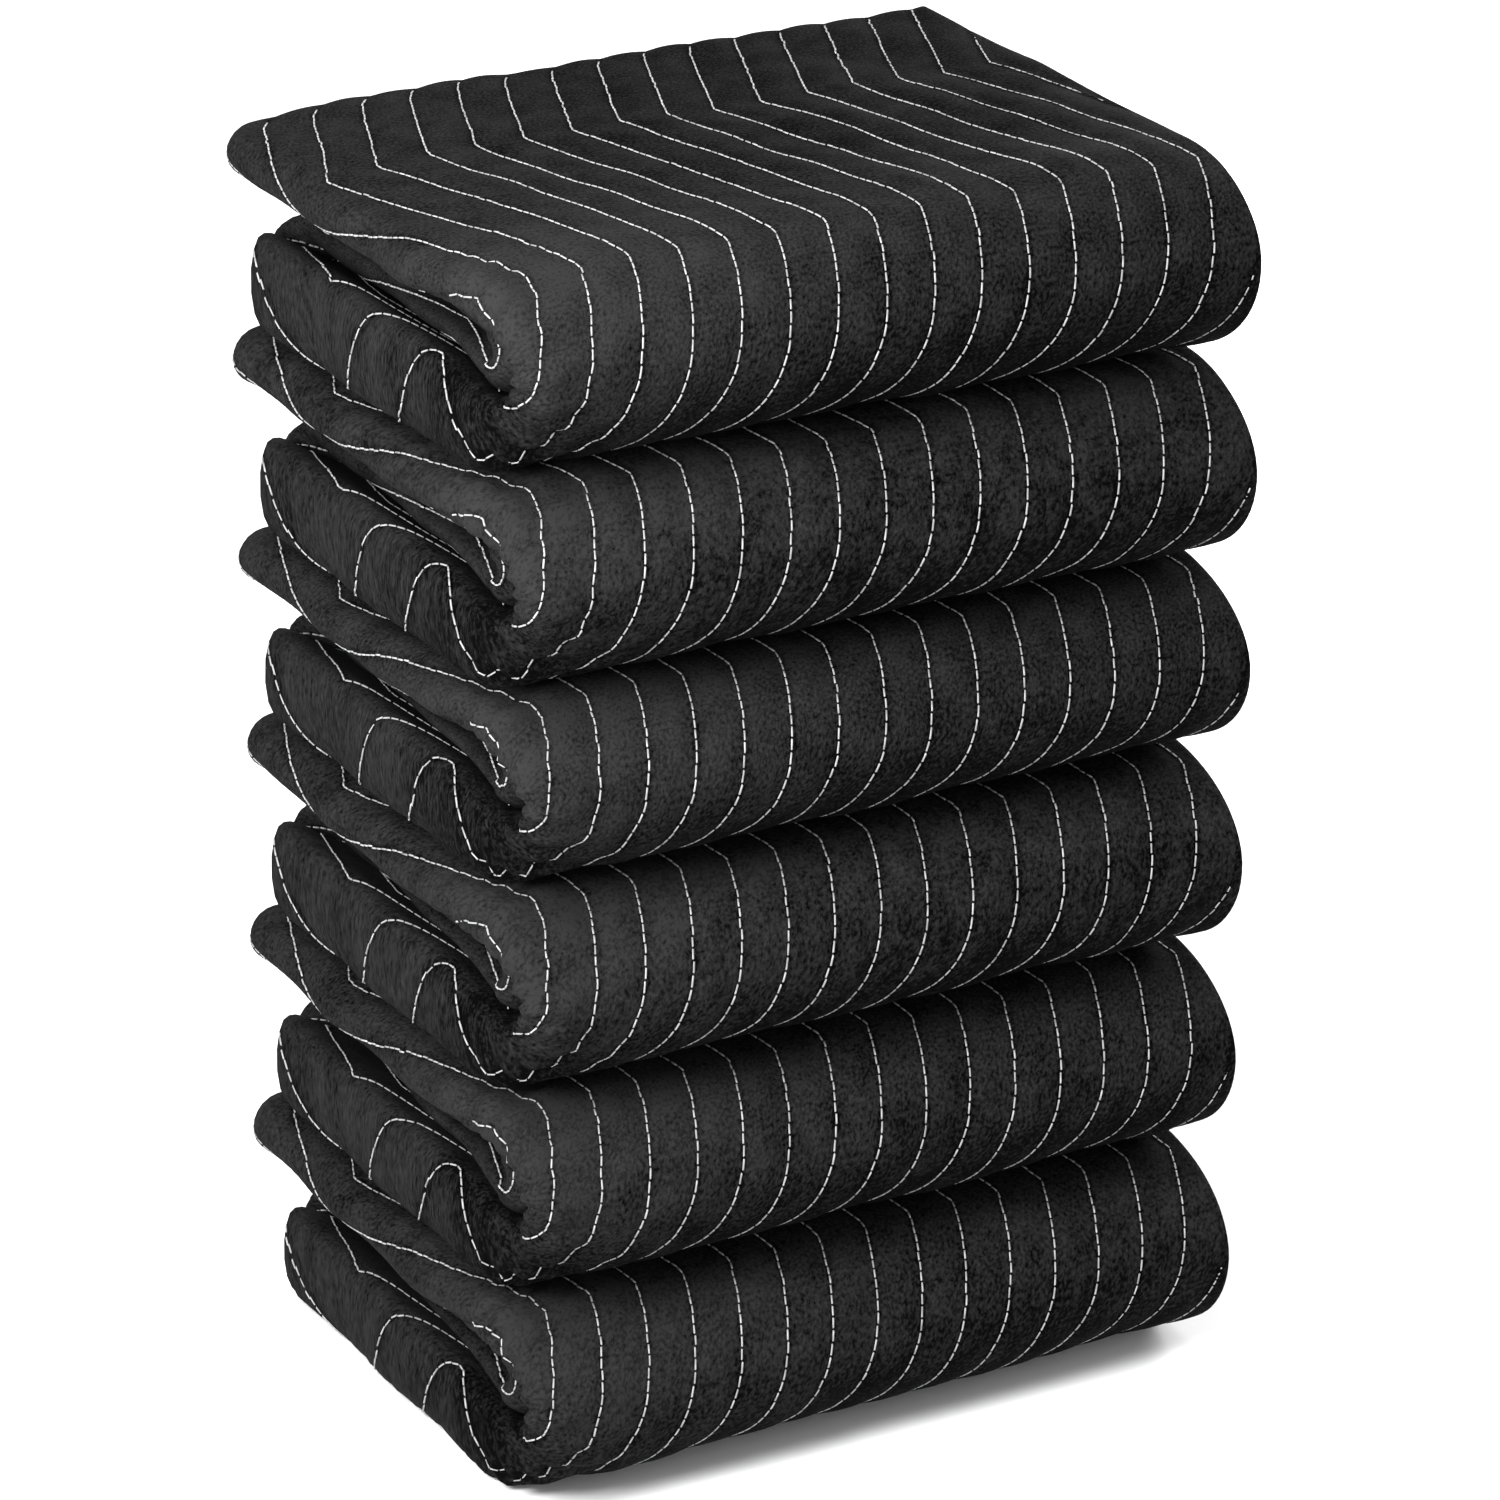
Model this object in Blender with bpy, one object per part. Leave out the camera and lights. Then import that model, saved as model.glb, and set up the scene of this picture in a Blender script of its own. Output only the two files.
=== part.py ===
"""A stack of six folded moving blankets, each a quilted cloth folded in half four times.

Units are metres and Z is up. The big round fold of each blanket faces -Y, and the folded edges of
its panels face -X. The origin is the middle of the stack's footprint, on the floor.

How one blanket is folded: the flat cloth is folded in half twice across its length, which makes a
strip four layers thick with a folded edge on the left and loose layers on the right. The strip is
then folded in half twice along its length, which makes four panels that lie back and forth on each
other: outer upper, outer lower, inner lower and inner upper.
"""

import math

import bmesh
import bpy
from mathutils import Matrix, Vector
from mathutils.geometry import delaunay_2d_cdt

# Folded size of one blanket
WIDTH = 0.508
DEPTH = 0.410
PANEL_GAP = 0.002
BLANKET_GAP = 0.0003

# The stack from the floor up: how thick each folded blanket is, and how it was put down
STACK = (
    # name, thickness, shift_x, shift_y, turn in degrees
    ("blanket_1", 0.1400, 0.000, 0.000, 0.0),
    ("blanket_2", 0.1370, 0.001, 0.001, 0.2),
    ("blanket_3", 0.1350, 0.000, -0.001, -0.2),
    ("blanket_4", 0.1260, 0.002, 0.001, 0.2),
    ("blanket_5", 0.1340, 0.001, -0.001, -0.1),
    ("blanket_6", 0.1340, 0.000, 0.000, 0.1),
)

# The front fold's outline: how far its upper and its lower part reach from the foremost line, and
# how high that line lies, as a share of the blanket's thickness
SHOULDER = 0.095
HEEL = 0.105
FRONT_HEIGHT = 0.55
FRONT_STEPS = 10

# The two tight folds, and how far the inner panels reach to the front and to the back
HAIRPIN_STEPS = 6
INNER_FRONT = 0.084
BACK_END = 0.006

# How far each panel's left edge is set in, at its front and at its back
INSET = {
    "outer_upper": (0.006, 0.000),
    "outer_lower": (0.013, 0.009),
    "inner_lower": (0.022, 0.046),
    "inner_upper": (0.024, 0.062),
}
INSET_FRONT_FOLD = 0.012
RIGHT_STEP_OUT = 0.006

# The rounded back corner of each panel's left edge
CORNER_LENGTH = 0.020
CORNER_INSET = 0.009

# The strip cut across: its left edge is round, and its right edge shows the ends of the layers
EDGE_DEPTH = 0.018
EDGE_STEPS = 6
SLOT_DEPTH = 0.028
LIP = 0.0022
SHORT_HEM = 0.005
FOLD_BULGE = 0.001
LOWER_CHAMFER = 0.008

# The left ends: the upper arm droops, the lower arm swells, and the edges wave
END_REACH = 0.090
END_STEPS = 3
SAG = 0.011
SAG_AT_FRONT = 0.3
SAG_AT_BACK = 0.60
SAG_FULL_Y = 0.190
UNDER_SAG = 0.0045
SWELL = 0.040
SWELL_AT_FRONT = 0.4
WAVE = 0.0016
WAVES_PER_METRE = 7.5
WAVE_TWIST = 0.8

# The heights between which the ends change, as shares of the blanket's thickness
SWELL_HEIGHTS = (0.0, 0.22)
SQUEEZED_HEIGHTS = (0.25, 0.76)
UNDER_HEIGHTS = (0.0, 0.45)

# The quilting: rows of stitches that run in an uneven zigzag round the blanket
ROW_SPACING = 0.0330
FIRST_ROW = 0.010
ROW_CORNERS = (
    # how far along the cloth, how far sideways
    (0.000, 0.025),
    (0.130, -0.025),
    (0.346, 0.025),
    (0.560, -0.060),
    (0.700, 0.010),
)
WIDEST_SWAY = 0.060
QUILT_DEPTH = 0.0013
QUILT_FADE = 0.020


def mix(a, b, share):
    return a + (b - a) * share


def smooth(share):
    """0 to 1 with soft ends, for a share that may lie outside 0 to 1."""
    share = min(1.0, max(0.0, share))
    return share * share * (3 - 2 * share)


def rise(value, between):
    """0 below the first of two values, 1 above the second, and soft in between."""
    return smooth((value - between[0]) / (between[1] - between[0]))


def climb(value, between):
    """0 below the first of two values, 1 above the second, and an even slope in between."""
    return min(1.0, max(0.0, (value - between[0]) / (between[1] - between[0])))


def sway(s):
    """Sideways place of a row of stitches, s along the cloth from the blanket's loose end."""
    last = len(ROW_CORNERS) - 1
    after = next((i for i in range(1, last) if s < ROW_CORNERS[i][0]), last)
    (s_from, sideways_from), (s_to, sideways_to) = ROW_CORNERS[after - 1], ROW_CORNERS[after]
    return mix(sideways_from, sideways_to, climb(s, (s_from, s_to)))


class Station:
    """One place along the strip: its middle, the way its outer side faces, and its ends."""

    def __init__(self, y, z, angle, inset, step_out):
        self.y = y
        self.z = z
        self.facing = (math.cos(angle), math.sin(angle))
        self.inset = inset
        self.step_out = step_out
        self.s = 0.0


def panel(name, y_from, y_to, z, facing_deg, step_out):
    """Stations along one flat panel, with one more near its back corner."""
    front, back = INSET[name]
    corner = max(y_from, y_to) - CORNER_LENGTH
    found = []
    for y in sorted((y_from, corner, (y_from + y_to) / 2, y_to), reverse=y_from > y_to):
        inset = mix(front, back, smooth(y / DEPTH))
        inset += CORNER_INSET * max(0.0, 1 - (DEPTH - y) / CORNER_LENGTH)
        found.append(Station(y, z, math.radians(facing_deg), inset, step_out))
    return found


def front_fold(thickness, strip):
    """The outer fold: its outer skin is two quarter ellipses that meet at the foremost line."""
    front = FRONT_HEIGHT * thickness
    found = []
    for i in range(1, FRONT_STEPS):
        turn = math.pi / 2 - math.pi * i / FRONT_STEPS
        reach = SHOULDER if turn > 0 else HEEL
        height = thickness - front if turn > 0 else front
        y = reach * (1 - math.cos(turn))
        z = front + height * math.sin(turn)
        angle = math.atan2(math.sin(turn) / height, -math.cos(turn) / reach)
        side = "outer_upper" if turn > 0 else "outer_lower"
        inset = mix(INSET_FRONT_FOLD, INSET[side][0], smooth(abs(turn) / (math.pi / 4) - 1))
        mid_y = y - strip / 2 * math.cos(angle)
        mid_z = z - strip / 2 * math.sin(angle)
        found.append(Station(mid_y, mid_z, angle, inset, 0.0))
    return found


def hairpin(centre_y, centre_z, radius, turn_deg, insets, step_outs):
    """A tight fold from the panel below to the one above, outward at the back, inward in front."""
    outward = turn_deg > 0
    found = []
    for i in range(1, HAIRPIN_STEPS):
        share = i / HAIRPIN_STEPS
        at = math.radians(-90 + turn_deg * share)
        y = centre_y + radius * math.cos(at)
        z = centre_z + radius * math.sin(at)
        inset = mix(*insets, share)
        if outward:
            inset += CORNER_INSET * math.sin(math.pi * share)
        angle = at if outward else at + math.pi
        found.append(Station(y, z, angle, inset, mix(*step_outs, share)))
    return found


def strip_path(thickness):
    """Stations from the strip's loose end on top, round all four panels, to its other loose end."""
    strip = (thickness - 3 * PANEL_GAP) / 4
    radius = (strip + PANEL_GAP) / 2
    fold_back = DEPTH - strip - PANEL_GAP / 2
    levels = [strip / 2 + i * (strip + PANEL_GAP) for i in range(4)]
    out = RIGHT_STEP_OUT
    path = panel("outer_upper", DEPTH, SHOULDER, levels[3], 90, 0.0)
    path += front_fold(thickness, strip)
    quilt_end = len(path)
    path += panel("outer_lower", HEEL, fold_back, levels[0], -90, 0.0)
    insets = (INSET["outer_lower"][1], INSET["inner_lower"][1])
    path += hairpin(fold_back, (levels[0] + levels[1]) / 2, radius, 180, insets, (0.0, out))
    path += panel("inner_lower", fold_back, INNER_FRONT, levels[1], 90, out)
    insets = (INSET["inner_lower"][0], INSET["inner_upper"][0])
    path += hairpin(INNER_FRONT, (levels[1] + levels[2]) / 2, radius, -180, insets, (out, out))
    path += panel("inner_upper", INNER_FRONT, DEPTH - BACK_END, levels[2], -90, out)
    for before, station in zip(path, path[1:]):
        step = math.hypot(station.y - before.y, station.z - before.z)
        station.s = before.s + step
    return path, strip, path[quilt_end].s


def strip_outline(strip):
    """The strip cut across: points (x, n), from the first slot round the outer side and back.

    n is the height above the strip's middle. Layers one and two end in loose hems, and layers three
    and four are joined by a fold.
    """
    half = strip / 2
    layer = strip / 4
    slot = WIDTH - SLOT_DEPTH
    short_hem = WIDTH - SHORT_HEM
    end_marks = [mix(EDGE_DEPTH, END_REACH, (i + 1) / END_STEPS) for i in range(END_STEPS)]
    outline = [
        (slot, layer),
        (WIDTH, layer + LIP),
        (WIDTH, half - LIP),
        (WIDTH - LIP, half),
    ]
    outer_from = len(outline) - 1
    outline += [(x, half) for x in reversed(end_marks)]
    for i in range(EDGE_STEPS + 1):
        turn = math.pi / 2 + math.pi * i / EDGE_STEPS
        outline.append((EDGE_DEPTH + EDGE_DEPTH * math.cos(turn), half * math.sin(turn)))
    outline += [(x, -half) for x in end_marks]
    outline += [
        (WIDTH - LOWER_CHAMFER, -half),
        (WIDTH - FOLD_BULGE, -half + LIP),
        (WIDTH + FOLD_BULGE, -layer),
        (WIDTH - FOLD_BULGE, -LIP),
        (slot, 0.0),
        (short_hem, LIP),
        (short_hem, layer - LIP),
        (slot, layer),
    ]
    return outline, outer_from


class Skin:
    """The strip's whole surface laid flat: p round its outline and s along its path."""

    def __init__(self, thickness, under_sag):
        self.thickness = thickness
        self.under_sag = under_sag
        self.path, self.strip, self.quilt_end = strip_path(thickness)
        self.outline, outer_from = strip_outline(self.strip)
        self.p_marks = [0.0]
        for a, b in zip(self.outline, self.outline[1:]):
            self.p_marks.append(self.p_marks[-1] + math.hypot(b[0] - a[0], b[1] - a[1]))
        self.outer = (self.p_marks[outer_from], self.p_marks[outer_from + END_STEPS + 1])
        self.outer_right = self.outline[outer_from][0]
        self.s_marks = [station.s for station in self.path]
        self.round = self.p_marks[-1]
        self.length = self.s_marks[-1]

    def x_at(self, p):
        """Sideways place on the outer face, which runs from right to left as p grows."""
        return self.outer_right - (p - self.outer[0])

    def p_at(self, x):
        return self.outer[0] + self.outer_right - x

    def rows(self):
        """Lines of stitches and of the puffed crests between them, as (p, s) corner lists."""
        corners = [s for s, sideways in ROW_CORNERS if s < self.quilt_end - 0.001] + [self.quilt_end]
        x = FIRST_ROW - 2 * ROW_SPACING
        while x < WIDTH + WIDEST_SWAY:
            yield [(self.p_at(x + sway(s)), s) for s in corners]
            x += ROW_SPACING / 2

    def clipped_rows(self):
        """The rows' straight runs, cut off at the two sides of the outer face."""
        low, high = self.outer
        for row in self.rows():
            for (p_a, s_a), (p_b, s_b) in zip(row, row[1:]):
                cuts = sorted(((low - p_a) / (p_b - p_a), (high - p_a) / (p_b - p_a)))
                share_a = max(0.0, cuts[0])
                share_b = min(1.0, cuts[1])
                if share_a < share_b:
                    yield [(mix(p_a, p_b, t), mix(s_a, s_b, t)) for t in (share_a, share_b)]

    def flat_mesh(self):
        """Triangles of the laid-out surface that follow every fold, edge and row of stitches."""
        points = []
        edges = []

        def line(a, b):
            points.extend((Vector(a), Vector(b)))
            edges.append((len(points) - 2, len(points) - 1))

        for p in self.p_marks:
            quilted = self.outer[0] < p < self.outer[1]
            line((p, self.quilt_end if quilted else 0.0), (p, self.length))
        for s in self.s_marks:
            line((0.0, s), (self.round, s))
        for a, b in self.clipped_rows():
            line(a, b)
        found = delaunay_2d_cdt(points, edges, [], 0, 1e-6)
        return found[0], found[2]

    def place(self, p, s):
        """The point in space, in the blanket's own frame, of one point of the laid-out surface."""
        i = next(i for i in range(1, len(self.p_marks)) if p <= self.p_marks[i] + 1e-7)
        share = (p - self.p_marks[i - 1]) / (self.p_marks[i] - self.p_marks[i - 1])
        x = mix(self.outline[i - 1][0], self.outline[i][0], share)
        n = mix(self.outline[i - 1][1], self.outline[i][1], share)
        if self.outer[0] <= p <= self.outer[1] and s < self.quilt_end:
            n -= QUILT_DEPTH * self.hollow(self.x_at(p), s) * smooth((self.quilt_end - s) / QUILT_FADE)
        j = next(j for j in range(1, len(self.s_marks)) if s <= self.s_marks[j] + 1e-7)
        before, after = self.path[j - 1], self.path[j]
        share = (s - before.s) / (after.s - before.s)
        y = mix(before.y + n * before.facing[0], after.y + n * after.facing[0], share)
        z = mix(before.z + n * before.facing[1], after.z + n * after.facing[1], share)
        inset = mix(before.inset, after.inset, share)
        step_out = mix(before.step_out, after.step_out, share)
        x = inset + x * (WIDTH + step_out - inset) / WIDTH
        return self.settle(x, y, z)

    def hollow(self, x, s):
        """1 on a row of stitches and 0 on the crest between two rows."""
        phase = (x - sway(s) - FIRST_ROW) / ROW_SPACING
        return (1 + math.cos(2 * math.pi * phase)) / 2

    def settle(self, x, y, z):
        """The left end's droop, swell and slow waves, which move every layer there together."""
        end = smooth(1 - x / END_REACH)
        height = z / self.thickness
        to_middle = smooth(y / SAG_FULL_Y)
        to_back = rise(y, (SAG_FULL_Y, DEPTH))
        droop = end * mix(SAG_AT_FRONT, 1.0, to_middle) * mix(1.0, SAG_AT_BACK, to_back)
        swell = end * mix(SWELL_AT_FRONT, 1.0, to_middle)
        squeezed = climb(height, SQUEEZED_HEIGHTS)
        z -= SAG * droop * squeezed
        z -= self.under_sag * droop * (1 - rise(height, UNDER_HEIGHTS))
        z += SWELL * swell * rise(height, SWELL_HEIGHTS) * (1 - squeezed)
        x += WAVE * end * math.sin(2 * math.pi * (WAVES_PER_METRE * y + WAVE_TWIST * height))
        return Vector((x, y, z))

    def solid(self):
        """One closed mesh: the laid-out surface folded up, with its two loose ends closed."""
        flat, triangles = self.flat_mesh()
        mesh = bmesh.new()
        known = {}
        folded = []
        for q in flat:
            p = 0.0 if q.x > self.round - 1e-6 else q.x
            key = (round(p, 6), round(q.y, 6))
            if key not in known:
                known[key] = mesh.verts.new(self.place(p, q.y))
            folded.append(known[key])
        for triangle in triangles:
            corners = [folded[i] for i in triangle]
            if len(set(corners)) == 3:
                mesh.faces.new(corners)
        bmesh.ops.holes_fill(mesh, edges=[e for e in mesh.edges if e.is_boundary])
        bmesh.ops.triangulate(mesh, faces=[f for f in mesh.faces if len(f.verts) > 3])
        bmesh.ops.recalc_face_normals(mesh, faces=mesh.faces[:])
        return mesh


def cloth_material():
    """Brushed black quilted cloth."""
    material = bpy.data.materials.new("black_quilted_cloth")
    material.use_nodes = True
    shader = material.node_tree.nodes["Principled BSDF"]
    shader.inputs["Base Color"].default_value = (0.025, 0.025, 0.027, 1.0)
    shader.inputs["Roughness"].default_value = 0.95
    shader.inputs["Metallic"].default_value = 0.0
    return material


def folded_blanket(name, thickness, under_sag, material):
    """One folded blanket, with its own origin under its middle."""
    skin = Skin(thickness, under_sag)
    solid = skin.solid()
    solid.transform(Matrix.Translation((-WIDTH / 2, -DEPTH / 2, 0.0)))
    mesh = bpy.data.meshes.new(name)
    solid.to_mesh(mesh)
    solid.free()
    mesh.materials.append(material)
    mesh.shade_smooth()
    print(name, "triangles", len(mesh.polygons), "cloth length", round(skin.length, 3))
    return bpy.data.objects.new(name, mesh)


def build_stack():
    """Put the blankets down from the floor up, then centre the footprint on the origin."""
    material = cloth_material()
    blankets = []
    floor = 0.0
    for name, thickness, shift_x, shift_y, turn in STACK:
        blanket = folded_blanket(name, thickness, UNDER_SAG if blankets else 0.0, material)
        blanket.location = (shift_x, shift_y, floor)
        blanket.rotation_euler = (0.0, 0.0, math.radians(turn))
        bpy.context.scene.collection.objects.link(blanket)
        blankets.append(blanket)
        floor += thickness + BLANKET_GAP
    corners = [b.matrix_basis @ v.co for b in blankets for v in b.data.vertices]
    middle_x = (min(c.x for c in corners) + max(c.x for c in corners)) / 2
    middle_y = (min(c.y for c in corners) + max(c.y for c in corners)) / 2
    for blanket in blankets:
        blanket.location.x -= middle_x
        blanket.location.y -= middle_y


for old in list(bpy.data.objects):
    bpy.data.objects.remove(old)
build_stack()
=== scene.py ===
# %% [markdown]
# # A stack of folded moving blankets
# Six quilted blankets lie on each other, each one folded into a thick pad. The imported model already
# holds six plain folded solids at their real size. This lesson dresses them: every blanket is made
# again as a real folded cloth with its layers, quilting and stitches, in the place of its solid.

import math

import bpy
import numpy as np
from mathutils import Matrix, Vector


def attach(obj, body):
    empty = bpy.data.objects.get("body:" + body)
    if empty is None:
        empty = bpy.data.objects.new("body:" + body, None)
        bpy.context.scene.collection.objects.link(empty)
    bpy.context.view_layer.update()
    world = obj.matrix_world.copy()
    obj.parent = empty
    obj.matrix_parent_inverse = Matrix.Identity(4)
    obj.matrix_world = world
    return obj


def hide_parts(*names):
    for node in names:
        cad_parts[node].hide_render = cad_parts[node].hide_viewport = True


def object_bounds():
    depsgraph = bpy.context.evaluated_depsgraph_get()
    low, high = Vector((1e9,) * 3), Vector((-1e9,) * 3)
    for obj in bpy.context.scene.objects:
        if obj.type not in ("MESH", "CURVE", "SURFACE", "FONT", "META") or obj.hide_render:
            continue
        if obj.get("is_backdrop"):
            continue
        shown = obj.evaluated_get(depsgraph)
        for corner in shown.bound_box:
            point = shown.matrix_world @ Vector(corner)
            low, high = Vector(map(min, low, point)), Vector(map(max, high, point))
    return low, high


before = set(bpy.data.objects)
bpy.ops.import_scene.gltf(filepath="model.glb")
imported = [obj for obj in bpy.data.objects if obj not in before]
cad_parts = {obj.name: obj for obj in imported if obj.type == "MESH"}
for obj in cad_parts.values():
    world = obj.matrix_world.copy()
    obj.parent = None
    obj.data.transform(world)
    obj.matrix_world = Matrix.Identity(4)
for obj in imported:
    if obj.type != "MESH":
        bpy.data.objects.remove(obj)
cad_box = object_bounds()
print("solids from", [round(v, 3) for v in cad_box[0]], "to", [round(v, 3) for v in cad_box[1]])

# %% [markdown]
# ## The camera
# The picture shows the stack from its front left and from a little above, with nearly upright sides.
# A long lens far away keeps uprights nearly parallel, so the camera stands back and looks down a
# little. It is made first, because every later choice is judged through it.

# %% The camera
CAMERA_AZIMUTH = math.radians(-28.5)
CAMERA_HEIGHT = math.radians(22.8)
CAMERA_DISTANCE = 4.0
MILLIMETRES = 1000
SENSOR = 0.036
LENS = 0.1521
AIM_SIDEWAYS = 0.0076
AIM_HEIGHT = 0.4066


def direction(azimuth, height):
    """A unit vector from the stack to something that stands round it."""
    flat = math.cos(height)
    return Vector((math.sin(azimuth) * flat, -math.cos(azimuth) * flat, math.sin(height)))


def aim_at(thing, target):
    thing.rotation_euler = (target - thing.location).to_track_quat("-Z", "Y").to_euler()


aim = Vector((
    AIM_SIDEWAYS * math.cos(CAMERA_AZIMUTH),
    AIM_SIDEWAYS * math.sin(CAMERA_AZIMUTH),
    AIM_HEIGHT,
))
camera = bpy.data.objects.new("camera", bpy.data.cameras.new("camera"))
camera.data.sensor_width = SENSOR * MILLIMETRES
camera.data.lens = LENS * MILLIMETRES
camera.location = aim + CAMERA_DISTANCE * direction(CAMERA_AZIMUTH, CAMERA_HEIGHT)
aim_at(camera, aim)
bpy.context.scene.collection.objects.link(camera)
bpy.context.scene.camera = camera
print("camera at", [round(v, 2) for v in camera.location])

# %% [markdown]
# ## The folded size
# A moving blanket is one big cloth. Folded in half twice across, it becomes a strip of four layers
# with a fold at its left edge. The strip is then folded in half twice along its length. These values
# say where each panel lies. They are the ones that the solids were made from. The big front fold has
# a shoulder above its foremost line and a longer heel below it, as a heavy folded cloth settles.

# %% Sizes of the folded blankets
WIDTH = 0.508
DEPTH = 0.410
PANEL_GAP = 0.002
BLANKET_GAP = 0.0003
STACK = (
    # name, thickness, shift_x, shift_y, turn in degrees
    ("blanket_1", 0.1400, 0.000, 0.000, 0.0),
    ("blanket_2", 0.1370, 0.001, 0.001, 0.2),
    ("blanket_3", 0.1350, 0.000, -0.001, -0.2),
    ("blanket_4", 0.1260, 0.002, 0.001, 0.2),
    ("blanket_5", 0.1340, 0.001, -0.001, -0.1),
    ("blanket_6", 0.1340, 0.000, 0.000, 0.1),
)
SHOULDER = 0.095
HEEL = 0.105
FRONT_HEIGHT = 0.55
INNER_FRONT = 0.084
BACK_END = 0.006
INSET = {
    "outer_upper": (0.006, 0.000),
    "outer_lower": (0.013, 0.009),
    "inner_lower": (0.022, 0.046),
    "inner_upper": (0.024, 0.062),
}
INSET_FRONT_FOLD = 0.012
RIGHT_STEP_OUT = 0.006
CORNER_LENGTH = 0.020
CORNER_INSET = 0.009

# %% [markdown]
# ## Small maths helpers
# The whole cloth is worked out with arrays, thousands of points at once, so the helpers work on
# arrays too. A soft step that starts and ends gently is what most cloth shapes need.

# %% Soft steps
def mix(a, b, share):
    return a + (b - a) * share


def smooth(share):
    share = np.clip(share, 0.0, 1.0)
    return share * share * (3 - 2 * share)


def rise(value, between):
    """0 below the first of two values, 1 above the second, and soft in between."""
    return smooth((value - between[0]) / (between[1] - between[0]))


def climb(value, between):
    """0 below the first of two values, 1 above the second, and an even slope in between."""
    return np.clip((value - between[0]) / (between[1] - between[0]), 0.0, 1.0)


# %% [markdown]
# ## The path of the strip
# Seen from the right, the strip runs forwards along the top, round the big front fold, back along
# the bottom, and then turns inside for two more panels. A simulation could fold the cloth too, but
# its folds would drift away from the solids. So each stretch is a short formula, and the stretches
# are joined into one line that is measured by its length s.

# %% One stretch for each panel and fold
PATH_POINTS = 60


def panel_stretch(name, y_from, y_to, z, facing_deg, step_out):
    """A flat panel. Columns are y, z, facing angle, inset on the left, step out on the right."""
    y = np.linspace(y_from, y_to, PATH_POINTS)
    front, back = INSET[name]
    corner = np.clip(1 - (DEPTH - y) / CORNER_LENGTH, 0.0, 1.0)
    inset = mix(front, back, smooth(y / DEPTH)) + CORNER_INSET * corner ** 2
    facing = np.full_like(y, math.radians(facing_deg))
    return np.column_stack((y, np.full_like(y, z), facing, inset, np.full_like(y, step_out)))


def front_stretch(thickness, strip):
    """The big fold: its outer skin is two quarter ellipses that meet at the foremost line."""
    front = FRONT_HEIGHT * thickness
    turn = np.linspace(math.pi / 2, -math.pi / 2, 2 * PATH_POINTS)[1:-1]
    reach = np.where(turn > 0, SHOULDER, HEEL)
    height = np.where(turn > 0, thickness - front, front)
    angle = np.arctan2(np.sin(turn) / height, -np.cos(turn) / reach)
    y = reach * (1 - np.cos(turn)) - strip / 2 * np.cos(angle)
    z = front + height * np.sin(turn) - strip / 2 * np.sin(angle)
    end = np.where(turn > 0, INSET["outer_upper"][0], INSET["outer_lower"][0])
    inset = mix(INSET_FRONT_FOLD, end, smooth(np.abs(turn) / (math.pi / 4) - 1))
    return np.column_stack((y, z, angle, inset, np.zeros_like(y)))


def hairpin_stretch(centre_y, centre_z, radius, turn_deg, insets, step_outs):
    """A tight fold from the panel below to the one above, outward at the back, inward in front."""
    share = np.linspace(0.0, 1.0, PATH_POINTS)[1:-1]
    at = np.radians(-90 + turn_deg * share)
    outward = turn_deg > 0
    inset = mix(*insets, share) + (CORNER_INSET * np.sin(math.pi * share) if outward else 0.0)
    return np.column_stack((
        centre_y + radius * np.cos(at),
        centre_z + radius * np.sin(at),
        at if outward else at + math.pi,
        inset,
        mix(*step_outs, share),
    ))


# %% Join the stretches
def strip_path(thickness):
    """The joined path, its length s at every point, and the s at which each stretch ends."""
    strip = (thickness - 3 * PANEL_GAP) / 4
    radius = (strip + PANEL_GAP) / 2
    fold_back = DEPTH - strip - PANEL_GAP / 2
    level = [strip / 2 + i * (strip + PANEL_GAP) for i in range(4)]
    out = RIGHT_STEP_OUT
    back_insets = (INSET["outer_lower"][1], INSET["inner_lower"][1])
    front_insets = (INSET["inner_lower"][0], INSET["inner_upper"][0])
    stretches = [
        panel_stretch("outer_upper", DEPTH, SHOULDER, level[3], 90, 0.0),
        front_stretch(thickness, strip),
        panel_stretch("outer_lower", HEEL, fold_back, level[0], -90, 0.0),
        hairpin_stretch(fold_back, mix(*level[0:2], 0.5), radius, 180, back_insets, (0.0, out)),
        panel_stretch("inner_lower", fold_back, INNER_FRONT, level[1], 90, out),
        hairpin_stretch(INNER_FRONT, mix(*level[1:3], 0.5), radius, -180, front_insets, (out, out)),
        panel_stretch("inner_upper", INNER_FRONT, DEPTH - BACK_END, level[2], -90, out),
    ]
    path = np.vstack(stretches)
    steps = np.hypot(np.diff(path[:, 0]), np.diff(path[:, 1]))
    s = np.concatenate(([0.0], np.cumsum(steps)))
    ends = s[np.cumsum([len(part) for part in stretches]) - 1]
    return path, s, ends, strip


print("the strip is", round(float(strip_path(STACK[-1][1])[1][-1]), 3), "m long")

# %% [markdown]
# ## The strip cut across
# Cut across, the strip is the cloth folded in half twice. The top layer runs left from its loose
# hem, turns at the outer fold and comes back as the fourth layer, turns at the right, and the two
# layers between turn once more at an inner fold. The line through the cloth's middle is measured by
# its length c, and the cloth's two faces lie half a layer to either side of it.

# %% The middle line of the cut
EDGE_DEPTH = 0.018
SHORT_HEM = 0.005
LAYER_SHARE = 0.97
INNER_FOLD_SHARE = 0.9
SLIVER = 1e-4
ARC_POINTS = 24


def arc(centre_x, centre_n, reach, height, from_deg, to_deg):
    at = np.radians(np.linspace(from_deg, to_deg, ARC_POINTS))
    return np.column_stack((centre_x + reach * np.cos(at), centre_n + height * np.sin(at)))


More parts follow.
